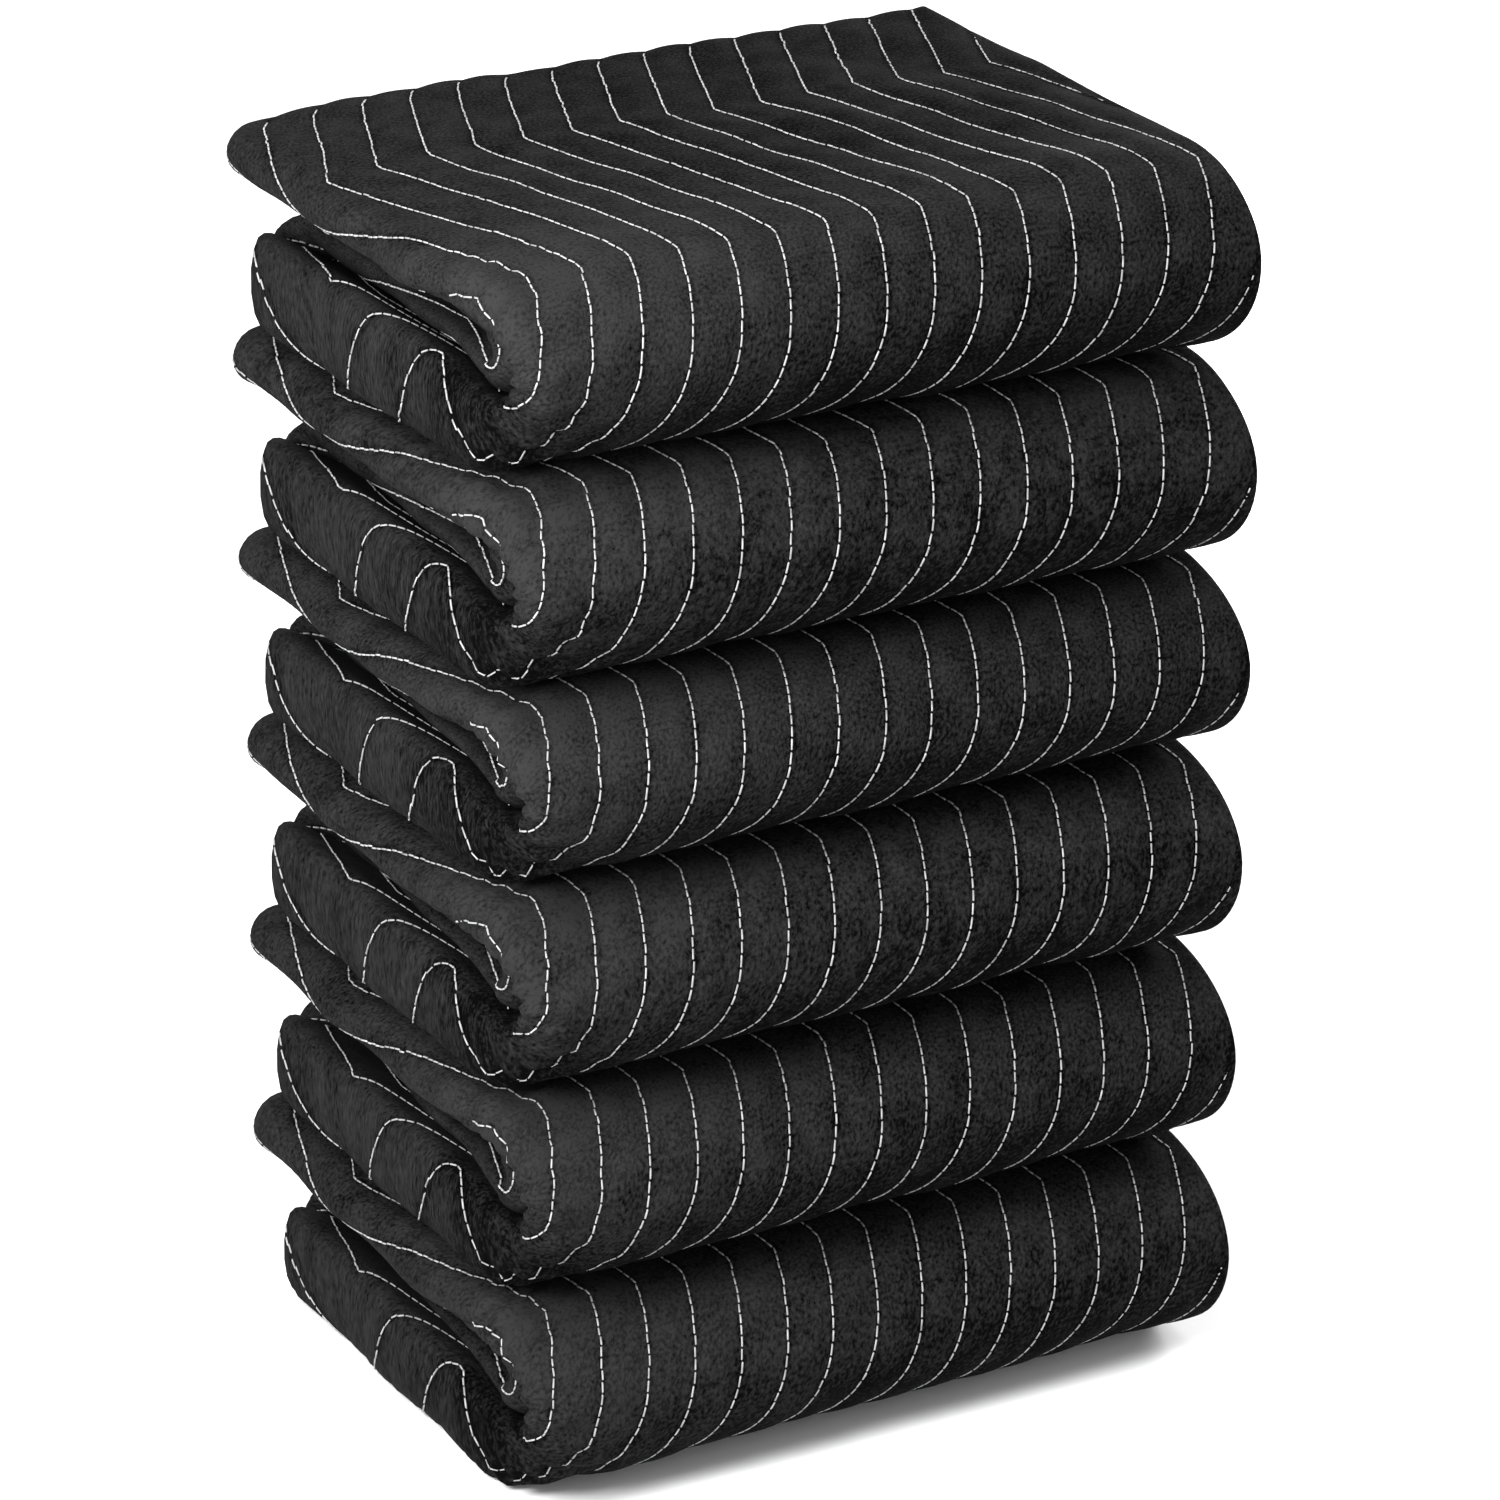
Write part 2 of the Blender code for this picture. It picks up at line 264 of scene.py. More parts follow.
def middle_line(strip):
    """Points (x, n) from the top layer's hem to the second layer's hem, and where each part ends."""
    layer = strip / 4
    right = WIDTH - layer
    inner_left = EDGE_DEPTH * INNER_FOLD_SHARE
    parts = [
        np.array([[WIDTH, 1.5 * layer], [EDGE_DEPTH + SLIVER, 1.5 * layer]]),
        arc(EDGE_DEPTH, 0.0, EDGE_DEPTH - layer / 2, 1.5 * layer, 90, 270),
        np.array([[EDGE_DEPTH + SLIVER, -1.5 * layer], [right - SLIVER, -1.5 * layer]]),
        arc(right, -layer, layer / 2, layer / 2, -90, 90),
        np.array([[right - SLIVER, -0.5 * layer], [inner_left + SLIVER, -0.5 * layer]]),
        arc(inner_left, 0.0, layer, layer / 2, 270, 90),
        np.array([[inner_left + SLIVER, 0.5 * layer], [WIDTH - SHORT_HEM, 0.5 * layer]]),
    ]
    line = np.vstack(parts)
    steps = np.hypot(np.diff(line[:, 0]), np.diff(line[:, 1]))
    c = np.concatenate(([0.0], np.cumsum(steps)))
    ends = c[np.cumsum([len(part) for part in parts]) - 1]
    return line, c, ends


print("the cloth is", round(float(middle_line(strip_path(STACK[-1][1])[3])[1][-1]), 3), "m across")

# %% [markdown]
# ## The quilting
# Rows of stitches run along the cloth in a zigzag with uneven corners. Each row pulls the cloth in,
# so a face is a valley at every row and puffs up between two rows. The place across the cloth, u, is
# the x of the top layer, and it keeps on counting below zero round the left fold.

# %% Where the rows of stitches run
ROW_SPACING = 0.0330
FIRST_ROW = 0.010
CORNERS = (0.0, 0.130, 0.346, 0.560, 0.700, 0.880, 1.080, 1.280, 1.480, 1.680)
CORNER_SWAYS = (0.025, -0.025, 0.025, -0.060, 0.010, -0.040, 0.010, -0.040, 0.010, -0.040)
WIDEST_SWAY = max(abs(sideways) for sideways in CORNER_SWAYS)
QUILT_DEPTH = 0.0016


def sway(s):
    """Sideways place of a row, which turns at every corner."""
    return np.interp(s, CORNERS, CORNER_SWAYS)


def quilt_valley(u, s):
    """1 on a row of stitches, falling to 0 half way to the next row."""
    turns = (u - FIRST_ROW - sway(s)) / ROW_SPACING
    share = 2 * np.abs(turns - np.round(turns))
    return (1 - share) ** 2


# %% [markdown]
# ## How the left ends settle
# The weight of the stack and the soft padding bend the left ends: the upper arm droops, the lower
# arm swells, and the edges are a little wavy. All layers there move together.

# %% The droop and the swell
END_REACH = 0.090
SAG = 0.011
SAG_AT_FRONT = 0.3
SAG_AT_BACK = 0.60
SAG_FULL_Y = 0.190
UNDER_SAG = 0.0045
SWELL = 0.040
SWELL_AT_FRONT = 0.4
WAVE = 0.0016
WAVES_PER_METRE = 7.5
WAVE_TWIST = 0.8
SWELL_HEIGHTS = (0.0, 0.22)
SQUEEZED_HEIGHTS = (0.25, 0.76)
UNDER_HEIGHTS = (0.0, 0.45)


def settle(x, y, z, thickness, under_sag):
    end = smooth(1 - x / END_REACH)
    height = z / thickness
    to_middle = smooth(y / SAG_FULL_Y)
    to_back = rise(y, (SAG_FULL_Y, DEPTH))
    droop = end * mix(SAG_AT_FRONT, 1.0, to_middle) * mix(1.0, SAG_AT_BACK, to_back)
    swell = end * mix(SWELL_AT_FRONT, 1.0, to_middle)
    squeezed = climb(height, SQUEEZED_HEIGHTS)
    z = z - SAG * droop * squeezed
    z = z - under_sag * droop * (1 - rise(height, UNDER_HEIGHTS))
    z = z + SWELL * swell * rise(height, SWELL_HEIGHTS) * (1 - squeezed)
    x = x + WAVE * end * np.sin(2 * math.pi * (WAVES_PER_METRE * y + WAVE_TWIST * height))
    return x, y, z


# %% [markdown]
# ## Creases and gathers
# Real cloth isn't even. A few slow swells from a handful of waves make the faces uneven, and short
# gathers pucker the cloth where the big fold's left end is squeezed. All of them are heights along
# the cloth's own outward direction.

# %% Uneven faces
# Slow swells: how many waves, their shortest and longest length, and the height
SWELL_WAVES = 14
SWELL_LENGTHS = (0.045, 0.160)
UNEVEN = 0.0011
# Gathers: height, distance from one to the next, and how far round the edge they reach. Inside the
# fold they are lower. They lean across the cloth and wander a little along it.
GATHER = 0.0023
GATHER_PITCH = 0.019
GATHER_REACH = 0.050
GATHER_INSIDE = 0.25
GATHER_LEAN = 0.25
WANDER = 0.004
WANDER_LENGTH = 0.021
FOLD_INSIDE = (-0.035, 0.0)
# Where they begin and end along the cloth, counted from the fold's start and from its end
GATHERS_BEGIN = (-0.05, 0.04)
GATHERS_END = (-0.03, 0.05)


def slow_waves(rng):
    """Random directions, lengths and starts of the waves that make a face uneven."""
    angle = rng.uniform(0, math.pi, SWELL_WAVES)
    length = rng.uniform(*SWELL_LENGTHS, SWELL_WAVES)
    start = rng.uniform(0, 2 * math.pi, SWELL_WAVES)
    return 2 * math.pi * np.cos(angle) / length, 2 * math.pi * np.sin(angle) / length, start


def unevenness(u, s, waves):
    total = np.zeros_like(u)
    for across, along, start in zip(*waves):
        total += np.sin(across * u + along * s + start)
    return UNEVEN * total / math.sqrt(SWELL_WAVES)


def gathers(u, s, fold_from, fold_to, start):
    """Short puckers across the left edge of the big fold, strongest at the edge itself."""
    near_edge = np.exp(-((u / GATHER_REACH) ** 2)) * mix(GATHER_INSIDE, 1.0, rise(u, FOLD_INSIDE))
    in_fold = rise(s - fold_from, GATHERS_BEGIN) * (1 - rise(s - fold_to, GATHERS_END))
    along = s + GATHER_LEAN * u + WANDER * np.sin(s / WANDER_LENGTH + start)
    return GATHER * near_edge * in_fold * np.sin(2 * math.pi * along / GATHER_PITCH + start)


# %% [markdown]
# ## One blanket as a surface
# Everything above meets in one function: a place on the flat cloth, across (c) and along (s), and
# one of its two faces, gives a point in space. The mesh and the stitches both ask it, so that the
# stitches always lie on the cloth.

# %% From flat cloth to folded cloth
# The rounded edges of the cloth
HEM_ROUND = 0.0042
THIN_EDGE = 0.10
# The loose ends don't lie exactly on each other
END_SHIFT = 0.0025
END_SHIFT_REACH = 0.060
END_WAVES = 5.1
# The inner face is flatter, and so is the outer one on the panel that the blanket lies on. Its two
# ends are counted from the front fold's end and from the back fold's start.
INNER_RELIEF = 0.6
FREE_UNTIL = (-0.040, 0.010)
FREE_AGAIN = (-0.010, 0.010)


def edge_thinning(distance):
    """The cloth's thickness near an edge, as a share: the edges are rounded."""
    share = 1 - np.clip(distance, 0.0, HEM_ROUND) / HEM_ROUND
    return np.maximum(THIN_EDGE, np.sqrt(np.clip(1 - share * share, 0.0, 1.0)))


class Blanket:
    """One folded blanket, with its left front foot at the origin until it is put down."""

    def __init__(self, thickness, under_sag, seed):
        self.thickness = thickness
        self.under_sag = under_sag
        self.path, self.s, self.s_ends, strip = strip_path(thickness)
        self.line, self.c, self.c_ends = middle_line(strip)
        self.half_layer = LAYER_SHARE * strip / 8
        rng = np.random.default_rng(seed)
        self.waves = slow_waves(rng)
        self.start = rng.uniform(0, 2 * math.pi)
        steps = np.gradient(self.line, axis=0)
        steps /= np.hypot(steps[:, 0], steps[:, 1])[:, None]
        self.side_x, self.side_n = steps[:, 1], -steps[:, 0]

    def u_at(self, c):
        return WIDTH - c

    def point(self, c, s, face, lift=0.0):
        """Points in space for places c and s on a face, +1 for the outer one and -1 for the inner."""
        u = self.u_at(c)
        relief = -QUILT_DEPTH * quilt_valley(u, s) + unevenness(u, s, self.waves) - UNEVEN
        relief += gathers(u, s, self.s_ends[0], self.s_ends[1], self.start)
        relief = np.where(face > 0, self.free(s), INNER_RELIEF) * relief
        to_end = np.minimum(s, self.s[-1] - s)
        thin = edge_thinning(np.minimum(c, self.c[-1] - c)) * edge_thinning(to_end)
        away = face * (thin * (self.half_layer + relief) + lift)
        x = np.interp(c, self.c, self.line[:, 0]) + away * np.interp(c, self.c, self.side_x)
        n = np.interp(c, self.c, self.line[:, 1]) + away * np.interp(c, self.c, self.side_n)
        y, z, inset, step_out = (np.interp(s, self.s, self.path[:, i]) for i in (0, 1, 3, 4))
        facing_y = np.interp(s, self.s, np.cos(self.path[:, 2]))
        facing_z = np.interp(s, self.s, np.sin(self.path[:, 2]))
        y = y + n * facing_y
        z = z + n * facing_z
        x = inset + x * (WIDTH + step_out - inset) / WIDTH
        near_end = 1 - smooth(to_end / END_SHIFT_REACH)
        y = y - END_SHIFT * near_end * (1 + np.sin(c * END_WAVES + self.start))
        return settle(x, y, z, self.thickness, self.under_sag)

    def free(self, s):
        """1 where the outer face is free, and 0 along the lower panel, which the blanket lies on."""
        before = 1 - rise(s - self.s_ends[1], FREE_UNTIL)
        return np.maximum(before, rise(s - self.s_ends[2], FREE_AGAIN))


# %% [markdown]
# ## The grid of each blanket
# The cloth is meshed as a grid. Its columns sway with the rows of stitches, so that every valley
# falls on a column and stays crisp, and they are close together only where the cloth shows. The
# loose ends are closed by zipping the outer face to the inner one.

# %% Columns and rows of the grid
COLUMNS_PER_ROW = 8
VISIBLE_BELOW = 0.110
SWAY_FADE = 0.085
HIDDEN_STEP = 0.045
FINE_STEP = 0.0050
COARSE_STEP = 0.0130
HAIRPIN_STEP = 0.0045
# Steps across the cloth in its turns: at the right on the outer and inner face, inside, at the left
RIGHT_TURN_STEPS = (0.003, 0.006)
INNER_TURN_STEP = 0.006
LEFT_TURN_STEP = 0.008
# Places in a rounded hem, how near to it the columns sway, and the least room between two rows
HEM_PLACES = HEM_ROUND * np.array([0.0, 0.08, 0.25, 0.55, 1.0])
HEM_SWAY_END = 0.008
ROW_CLEARANCE = 0.002


def spaced(start, stop, step):
    """Evenly spaced values from start up to, but not including, stop."""
    return np.linspace(start, stop, max(2, round(abs(stop - start) / step)), endpoint=False)


def grid_rows(blanket):
    """Values of s, with one at every corner of the quilting and more of them in the folds."""
    steps = (FINE_STEP, FINE_STEP, COARSE_STEP, HAIRPIN_STEP, COARSE_STEP, HAIRPIN_STEP, COARSE_STEP)
    starts = [0.0, *blanket.s_ends[:-1]]
    rows = np.concatenate([spaced(a, b, step) for a, b, step in zip(starts, blanket.s_ends, steps)])
    last = blanket.s[-1]
    corners = [corner for corner in CORNERS if HEM_ROUND < corner < last - 2 * HEM_ROUND]
    fixed = np.concatenate((HEM_PLACES, last - HEM_PLACES, corners))
    clear = np.abs(rows[:, None] - fixed[None, :]).min(axis=1) > ROW_CLEARANCE
    inside = (rows > HEM_ROUND) & (rows < last - HEM_ROUND)
    return np.sort(np.concatenate((rows[clear & inside], fixed)))


def grid_columns(blanket):
    """The columns round the cloth's two faces: u at rest, how far each sways, and its face."""
    end = blanket.c[-1]
    hem = HEM_PLACES
    turns = blanket.c_ends
    step = ROW_SPACING / COLUMNS_PER_ROW
    first = FIRST_ROW - math.ceil((VISIBLE_BELOW + FIRST_ROW + SWAY_FADE) / step) * step
    shown = WIDTH - np.arange(first, WIDTH - 2 * HEM_ROUND, step)[::-1]
    rest = np.concatenate([
        spaced(shown[-1] + HIDDEN_STEP, turns[2], HIDDEN_STEP),
        spaced(turns[2], turns[3], RIGHT_TURN_STEPS[0]),
        spaced(turns[3], turns[4], HIDDEN_STEP),
        spaced(turns[4], turns[5], INNER_TURN_STEP),
        spaced(turns[5], end - 2 * HEM_ROUND, HIDDEN_STEP),
    ])
    outer = np.concatenate((hem, shown, rest, (end - hem)[::-1]))
    inner = np.concatenate((
        (end - hem)[1:-1],
        spaced(end - 3 * HEM_ROUND, turns[5], HIDDEN_STEP),
        spaced(turns[5], turns[4], INNER_TURN_STEP),
        spaced(turns[4], turns[3], HIDDEN_STEP),
        spaced(turns[3], turns[2], RIGHT_TURN_STEPS[1]),
        spaced(turns[2], turns[1], HIDDEN_STEP),
        spaced(turns[1], turns[0], LEFT_TURN_STEP),
        spaced(turns[0], 3 * HEM_ROUND, HIDDEN_STEP),
        hem[::-1][:-1],
    ))
    c = np.concatenate((outer, inner))
    face = np.concatenate((np.ones(len(outer)), -np.ones(len(inner))))
    u = WIDTH - c
    fade = climb(u, (-VISIBLE_BELOW - SWAY_FADE, -VISIBLE_BELOW))
    fade = fade * (1 - climb(u, (WIDTH - SWAY_FADE, WIDTH - HEM_SWAY_END)))
    return c, np.where(face > 0, fade, 0.0), face, len(outer)


# %% Zip the two faces together at a loose end
def zip_faces(outer_c, inner_c, outer_ids, inner_ids):
    """Triangles between two lines of points, which are both sorted by their place c."""
    triangles = []
    i = j = 0
    while i < len(outer_c) - 1 or j < len(inner_c) - 1:
        outer_left = i < len(outer_c) - 1
        inner_left = j < len(inner_c) - 1
        if not inner_left or (outer_left and outer_c[i + 1] <= inner_c[j + 1]):
            triangles.append((outer_ids[i], outer_ids[i + 1], inner_ids[j]))
            i += 1
        else:
            triangles.append((outer_ids[i], inner_ids[j + 1], inner_ids[j]))
            j += 1
    return triangles


# %% Build one blanket's mesh
def blanket_mesh(name, blanket, index):
    rows = grid_rows(blanket)
    c_rest, fade, face, outer_count = grid_columns(blanket)
    s = np.repeat(rows[:, None], len(c_rest), axis=1)
    c = np.clip(c_rest[None, :] - fade[None, :] * sway(s), 0.0, blanket.c[-1])
    faces = np.repeat(face[None, :], len(rows), axis=0)
    x, y, z = blanket.point(c, s, faces)
    count = len(c_rest)
    ids = np.arange(len(rows) * count).reshape(len(rows), count)
    after = np.roll(ids, -1, axis=1)
    quads = np.stack((ids[:-1], ids[1:], after[1:], after[:-1]), axis=-1).reshape(-1, 4).tolist()
    inner_order = np.concatenate(([0], np.arange(count - 1, outer_count - 2, -1)))
    for row, flip in ((0, False), (len(rows) - 1, True)):
        found = zip_faces(
            c[row, :outer_count], c[row, inner_order], ids[row, :outer_count], ids[row, inner_order]
        )
        quads += [t[::-1] if flip else t for t in found if len(set(t)) == 3]
    mesh = bpy.data.meshes.new(name)
    mesh.from_pydata(np.column_stack((x.ravel(), y.ravel(), z.ravel())).tolist(), [], quads)
    mesh.shade_smooth()
    place = mesh.attributes.new("flat_place", "FLOAT_VECTOR", "POINT")
    across = blanket.u_at(c) - sway(s)
    flat = np.column_stack((across.ravel(), s.ravel(), (index + 0.5 * faces).ravel()))
    place.data.foreach_set("vector", flat.astype(np.float32).ravel())
    return mesh


# %% [markdown]
# ## The stitches
# A quilting machine leaves a line of thick pale stitches, each about five millimetres long, with a
# tiny gap where the thread dips through the cloth. Each stitch is a small stretched grain that
# starts and ends a little inside the cloth. None are made where the panels hide them, or inside the
# big fold's squeezed end. All the stitches of a blanket are one mesh.

# %% Where the stitches show
STITCH_PITCH = 0.0055
STITCH_LENGTH = 0.0053
STITCH_RADIUS = 0.00068
STITCH_SIDES = 4
STITCH_BELOW = 0.095
STITCH_SCATTER = 0.00025
# How far from the loose ends and hems the rows stop, and which parts of the cloth show
FIRST_STITCH = 0.004
HEM_MARGIN = 0.006
EDGE_STRIP = 0.045
PAST_FRONT_FOLD = 0.03
ROUND_BACK_FOLD = (-0.012, 0.004)
# The big fold's squeezed end, counted from the fold's start and end, and below this u
SQUEEZED_FROM = -0.04
SQUEEZED_TO = -0.02
SQUEEZED_BELOW = -0.006
STITCH_RINGS = (
    # share of the stitch, size, height over the cloth
    (0.00, 0.0, -0.0004),
    (0.12, 1.0, 0.0001),
    (0.88, 1.0, 0.0001),
    (1.00, 0.0, -0.0004),
)
STITCH_FLATNESS = 0.8
# A second point this far over the first one shows which way the cloth faces
PROBE = 0.001


def stitch_places(blanket, lowest, rng):
    """Start and end (u, s) of every stitch that shows on the outer face of the cloth."""
    fold_from, fold_to, back_from, back_to = blanket.s_ends[:4]
    last = blanket.s[-1] - FIRST_STITCH - STITCH_PITCH
    under_to = back_from if lowest else fold_to + PAST_FRONT_FOLD
    starts, ends = [], []
    first = math.ceil((-STITCH_BELOW - WIDEST_SWAY - FIRST_ROW) / ROW_SPACING)
    final = math.floor((WIDTH + WIDEST_SWAY - FIRST_ROW) / ROW_SPACING)
    for row in range(first, final + 1):
        s = np.arange(FIRST_STITCH + rng.uniform(0, STITCH_PITCH), last, STITCH_PITCH)
        u_from = FIRST_ROW + row * ROW_SPACING + sway(s)
        u_to = FIRST_ROW + row * ROW_SPACING + sway(s + STITCH_LENGTH)
        on_cloth = (u_from < WIDTH - HEM_MARGIN) & (u_from > -STITCH_BELOW)
        back_fold = (s > back_from + ROUND_BACK_FOLD[0]) & (s < back_to + ROUND_BACK_FOLD[1])
        open_face = (s < under_to) | back_fold | (u_from < EDGE_STRIP)
        in_big_fold = (s > fold_from + SQUEEZED_FROM) & (s < fold_to + SQUEEZED_TO)
        keep = on_cloth & open_face & ~(in_big_fold & (u_from < SQUEEZED_BELOW))
        starts.append(np.column_stack((u_from[keep], s[keep])))
        ends.append(np.column_stack((u_to[keep], s[keep] + STITCH_LENGTH)))
    return np.vstack(starts), np.vstack(ends)


# %% Build one blanket's stitches
def stitch_faces(last):
    """The faces of one stitch: point 0 is its start, then come two rings, then its end."""
    faces = []
    for i in range(STITCH_SIDES):
        a, b = 1 + i, 1 + (i + 1) % STITCH_SIDES
        faces += [(0, b, a), (last, a + STITCH_SIDES, b + STITCH_SIDES)]
        faces += [(a, b, b + STITCH_SIDES, a + STITCH_SIDES)]
    return faces


def stitch_mesh(name, blanket, lowest, seed):
    rng = np.random.default_rng(seed)
    start, end = stitch_places(blanket, lowest, rng)
    side = rng.normal(0.0, STITCH_SCATTER, len(start))
    rings = []
    for share, size, lift in STITCH_RINGS:
        u = mix(start[:, 0], end[:, 0], share) + side
        s = mix(start[:, 1], end[:, 1], share)
        c = np.clip(WIDTH - u, 0.0, blanket.c[-1])
        ones = np.ones_like(c)
        centre = np.column_stack(blanket.point(c, s, ones, lift))
        above = np.column_stack(blanket.point(c, s, ones, lift + PROBE))
        rings.append((centre, above - centre, size))
    along = rings[-1][0] - rings[0][0]
    along /= np.linalg.norm(along, axis=1)[:, None]
    points = []
    for centre, up, size in rings:
        up = up / np.linalg.norm(up, axis=1)[:, None]
        across = np.cross(along, up)
        across /= np.linalg.norm(across, axis=1)[:, None]
        if size == 0.0:
            points.append(centre)
            continue
        for i in range(STITCH_SIDES):
            at = 2 * math.pi * (i + 0.5) / STITCH_SIDES
            outward = math.cos(at) * across + STITCH_FLATNESS * math.sin(at) * up
            points.append(centre + STITCH_RADIUS * outward)
    per_stitch = len(points)
    cloud = np.stack(points, axis=1).reshape(-1, 3)
    faces = [
        tuple(corner + per_stitch * stitch for corner in face)
        for stitch in range(len(start))
        for face in stitch_faces(per_stitch - 1)
    ]
    mesh = bpy.data.meshes.new(name)
    mesh.from_pydata(cloud.tolist(), [], faces)
    mesh.shade_smooth()
    return mesh


# %% [markdown]
# ## Shader maths
# Node trees are easier to read as formulas. A wire stands for one output of a node. Adding or
# multiplying wires adds the Math nodes, and one method adds any other node. A few small functions
# then make the nodes that every finish needs.

# %% A wire between nodes
class Wire:
    """One output of a node tree, with the operators that the finishes use."""

    def __init__(self, tree, socket=None):
        self.tree = tree
        self.socket = socket

    def node(self, kind, settings=None, values=None, output=0):
        """A new node: its settings first, then the values or wires of its sockets."""
        made = self.tree.nodes.new(kind)
        for name, value in (settings or {}).items():
            setattr(made, name, value)
        for name, value in (values or {}).items():
            if isinstance(value, Wire):
                self.tree.links.new(value.socket, made.inputs[name])
            else:
                made.inputs[name].default_value = value
        return Wire(self.tree, made.outputs[output])

    def maths(self, operation, *values):
        return self.node("ShaderNodeMath", {"operation": operation}, dict(enumerate((self, *values))))

    def __add__(self, other):
        return self.maths("ADD", other)

    def __radd__(self, other):
        return self.maths("ADD", other)

    def __sub__(self, other):
        return self.maths("SUBTRACT", other)

    def __rsub__(self, other):
        return (self * -1.0) + other

    def __mul__(self, other):
        return self.maths("MULTIPLY", other)

    def __rmul__(self, other):
        return self.maths("MULTIPLY", other)

    def __truediv__(self, other):
        return self.maths("DIVIDE", other)

    def __abs__(self):
        return self.maths("ABSOLUTE")


# %% Nodes that every finish needs
FIRST_COLOUR, SECOND_COLOUR, MIXED_COLOUR = 6, 7, 2


def noise(place, scale, detail, roughness=0.5):
    values = {"Vector": place, "Scale": scale, "Detail": detail, "Roughness": roughness}
    return place.node("ShaderNodeTexNoise", values=values)


def blend(factor, dark, light):
    """A colour between two, by a factor from 0 to 1."""
    values = {"Factor": factor, FIRST_COLOUR: dark, SECOND_COLOUR: light}
    return factor.node("ShaderNodeMix", {"data_type": "RGBA"}, values, MIXED_COLOUR)


def relief(height, strength, distance):
    """Fine relief that only bends the light."""
    values = {"Strength": strength, "Distance": distance, "Height": height}
    return height.node("ShaderNodeBump", values=values)


def wire_up(shader, name, wire):
    wire.tree.links.new(wire.socket, shader.inputs[name])


def blank_finish(name):
    """A new material with one Principled shader, and a wire to build its nodes with."""
    material = bpy.data.materials.new(name)
    material.use_nodes = True
    return material, material.node_tree.nodes["Principled BSDF"], Wire(material.node_tree)


print("wires are ready")

# %% [markdown]
# ## The cloth's finish
# The outer face is a black cloth with a short brushed nap. It shows as fine flecks of lighter and
# darker grey, because the tiny fibres lean in all directions. Painted light brightens the left part
# of the cloth by its folded edge, a painted highlight lies on the front fold's shoulder, and painted
# shade darkens the heel. Next to the stitches the cloth is drawn in to a fine crease with small
# puckers, and painted shade darkens the crease.

# %% Brushed black cloth
FLECK_SIZE = 0.0022
PATCH_SIZE = 0.022
CREASE_WIDTH = 0.0028
PUCKER_PITCH = 0.0055
# Painted light: the cloth is lighter over this width from its left folded edge, as if lit from the
# left
PAINTED_LEFT_LIGHT_WIDTH = 0.24
# Where the painted highlight and the painted shade lie: the place along the cloth, and how far each
# reaches
PAINTED_SHOULDER_HIGHLIGHT = (0.350, 0.095)
PAINTED_HEEL_SHADE = (0.505, 0.105)
# How much each of them lifts or lowers the cloth's tone, from 0 for the darkest to 1
PLAIN_TONE = 0.22
PAINTED_LEFT_LIGHT_TONE = 0.35
# The painted highlight on the shoulder and the painted shade on the heel
PAINTED_HIGHLIGHT_TONE = 0.38
PAINTED_SHADE_TONE = 0.44
FLECK_TONE = 2.6
PATCH_TONE = 0.9
# Painted shade: how much the colour darkens in the crease at each row of stitches
PAINTED_CREASE_SHADE = 0.30
# How much each of them raises the fine relief of the cloth
FLECK_RELIEF = 0.35
PATCH_RELIEF = 0.3
CREASE_RELIEF = 0.9
PUCKER_RELIEF = 0.25
DARKEST_CLOTH = (0.0006, 0.0006, 0.0006, 1.0)
LIGHTEST_CLOTH = (0.0180, 0.0180, 0.0184, 1.0)


def bump_of(wire, place_and_reach):
    """1 at a place along the cloth, falling evenly to 0 within its reach."""
    place, reach = place_and_reach
    return (1.0 - abs((wire - place) / reach)).maths("MAXIMUM", 0.0)


